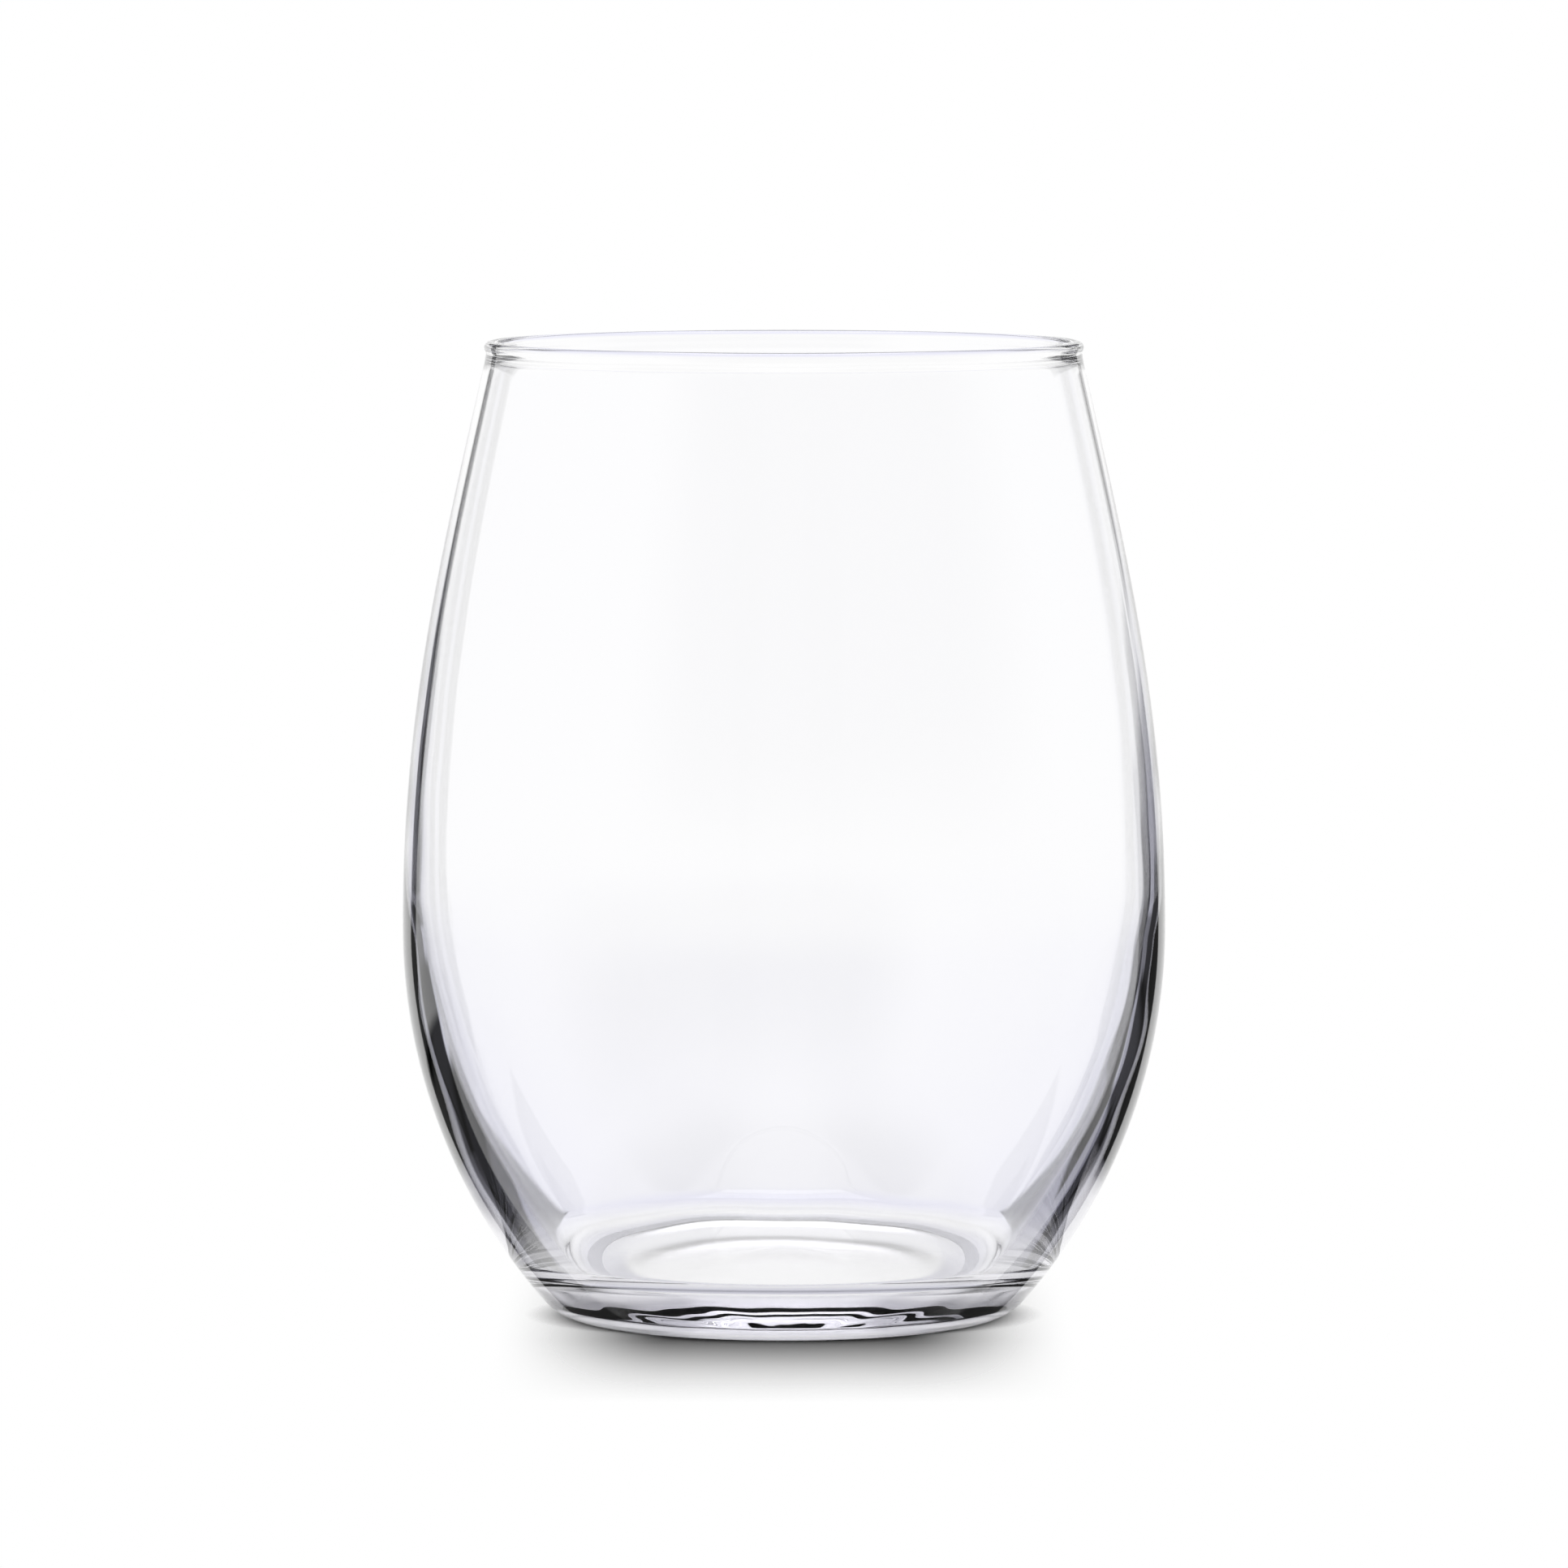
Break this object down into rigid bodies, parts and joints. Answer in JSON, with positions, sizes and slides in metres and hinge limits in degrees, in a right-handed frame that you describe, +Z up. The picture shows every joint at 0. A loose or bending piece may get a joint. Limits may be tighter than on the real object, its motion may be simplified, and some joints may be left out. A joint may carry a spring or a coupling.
{
  "type": "stemless wine glass",
  "caption": "Clear stemless wine glass: an egg-shaped bowl with a rounded lip, a wall that thickens downwards and a heavy base on a foot ring.",
  "frame": {"origin": "on the axis of the glass, in the plane that the foot ring stands on", "axes": "+Z up along the axis of the glass; X and Y are free, because the glass is round"},
  "size_m": [0.0892, 0.0892, 0.1143],
  "materials": {
    "clear_glass": "clear polished soda-lime glass with a faint lavender tint in the thick places"
  },
  "bodies": {
    "root": {"rim_bead": "clear_glass", "upper_bowl": "clear_glass", "lower_bowl": "clear_glass", "base": "clear_glass", "foot_ring": "clear_glass"}
  },
  "joints": []
}
